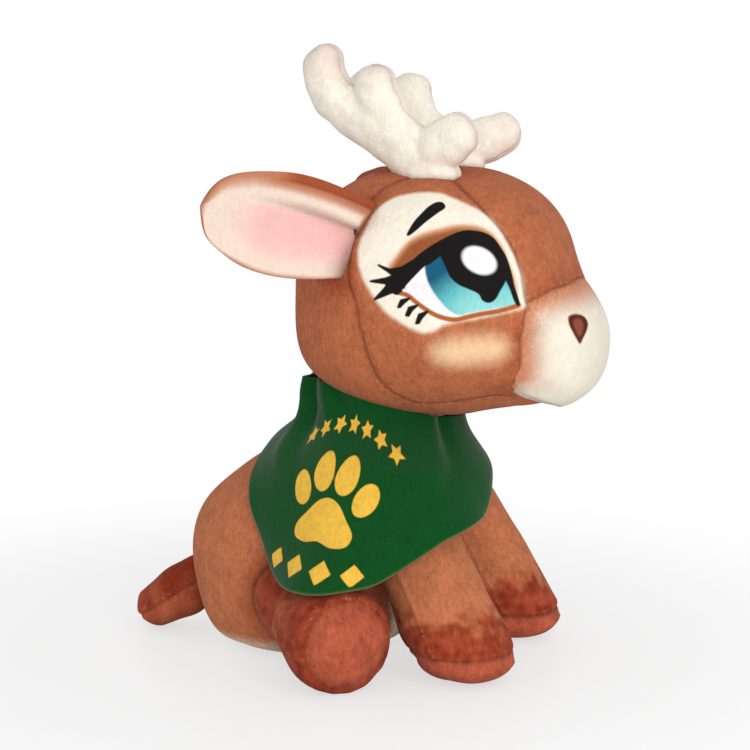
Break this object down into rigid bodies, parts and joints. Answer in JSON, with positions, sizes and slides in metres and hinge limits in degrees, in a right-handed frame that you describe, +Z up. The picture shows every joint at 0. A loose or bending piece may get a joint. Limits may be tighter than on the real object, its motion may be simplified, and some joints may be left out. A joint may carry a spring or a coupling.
{
  "type": "plush deer",
  "caption": "Sitting plush deer with a round printed head, folded ears, soft branched antlers, stubby stuffed legs, a leaf tail and a corner-hung neckerchief.",
  "frame": {"origin": "on the floor, under the middle of the seat", "axes": "+Z up, -Y the way the deer faces, +X its left side"},
  "size_m": [0.1612, 0.1877, 0.2329],
  "materials": {
    "plush_brown": "matte",
    "plush_dark_brown": "matte",
    "plush_cream": "matte",
    "plush_pink": "matte",
    "cloth_green": "matte",
    "stuffing": "matte"
  },
  "bodies": {
    "torso": {"torso_back_panel": "plush_brown", "belly_panel": "plush_cream", "torso_stuffing": "stuffing", "neckerchief": "cloth_green"},
    "head": {"head_back_panel": "plush_brown", "forehead_gusset": "plush_brown", "face_panel_left": "plush_brown", "face_panel_right": "plush_brown", "muzzle": "plush_cream", "head_stuffing": "stuffing"},
    "ear_left": {"ear_left_outer": "plush_brown", "ear_left_lining": "plush_pink"},
    "ear_right": {"ear_right_outer": "plush_brown", "ear_right_lining": "plush_pink"},
    "antler_left": {"antler_left_skin": "plush_cream", "antler_left_stuffing": "stuffing"},
    "antler_right": {"antler_right_skin": "plush_cream", "antler_right_stuffing": "stuffing"},
    "front_leg_left": {"front_leg_left_skin": "plush_brown", "front_leg_left_sole": "plush_dark_brown", "front_leg_left_stuffing": "stuffing"},
    "front_leg_right": {"front_leg_right_skin": "plush_brown", "front_leg_right_sole": "plush_dark_brown", "front_leg_right_stuffing": "stuffing"},
    "hind_leg_left": {"hind_leg_left_skin": "plush_brown", "hind_leg_left_sole": "plush_dark_brown", "hind_leg_left_stuffing": "stuffing"},
    "hind_leg_right": {"hind_leg_right_skin": "plush_brown", "hind_leg_right_sole": "plush_dark_brown", "hind_leg_right_stuffing": "stuffing"},
    "tail": {"tail_skin": "plush_dark_brown", "tail_stuffing": "stuffing"}
  },
  "joints": [
    {"name": "head_nod", "type": "hinge", "parent": "torso", "child": "head", "pos_m": [0, -0.03, 0.098], "axis": [1, 0, 0], "range_deg": [-6, 10], "stiffness_Nm_per_rad": 0.5},
    {"name": "ear_left_turn", "type": "hinge", "parent": "head", "child": "ear_left", "pos_m": [0.0423, -0.033, 0.163], "axis": [-0.1986, -0.2367, 0.9511], "range_deg": [-12, 12], "stiffness_Nm_per_rad": 0.02},
    {"name": "ear_right_turn", "type": "hinge", "parent": "head", "child": "ear_right", "pos_m": [-0.0423, -0.033, 0.163], "axis": [-0.1986, 0.2367, -0.9511], "range_deg": [-12, 12], "stiffness_Nm_per_rad": 0.02},
    {"name": "antler_left_bend", "type": "hinge", "parent": "head", "child": "antler_left", "pos_m": [0.014, -0.052, 0.1865], "axis": [0, 1, 0], "range_deg": [-6, 6], "stiffness_Nm_per_rad": 0.03},
    {"name": "antler_right_bend", "type": "hinge", "parent": "head", "child": "antler_right", "pos_m": [-0.014, -0.052, 0.1865], "axis": [0, -1, 0], "range_deg": [-6, 6], "stiffness_Nm_per_rad": 0.03},
    {"name": "front_leg_left_swing", "type": "hinge", "parent": "torso", "child": "front_leg_left", "pos_m": [0.026, -0.045, 0.062], "axis": [-1, 0, 0], "range_deg": [-4, 12], "stiffness_Nm_per_rad": 0.3},
    {"name": "front_leg_right_swing", "type": "hinge", "parent": "torso", "child": "front_leg_right", "pos_m": [-0.026, -0.045, 0.062], "axis": [-1, 0, 0], "range_deg": [-4, 12], "stiffness_Nm_per_rad": 0.3},
    {"name": "hind_leg_left_swing", "type": "hinge", "parent": "torso", "child": "hind_leg_left", "pos_m": [0.04, -0.009, 0.027], "axis": [0, 0, 1], "range_deg": [-8, 10], "stiffness_Nm_per_rad": 0.3},
    {"name": "hind_leg_right_swing", "type": "hinge", "parent": "torso", "child": "hind_leg_right", "pos_m": [-0.04, -0.009, 0.027], "axis": [0, 0, -1], "range_deg": [-8, 10], "stiffness_Nm_per_rad": 0.3},
    {"name": "tail_lift", "type": "hinge", "parent": "torso", "child": "tail", "pos_m": [0, 0.041, 0.024], "axis": [1, 0, 0], "range_deg": [-5, 15], "stiffness_Nm_per_rad": 0.02}
  ]
}
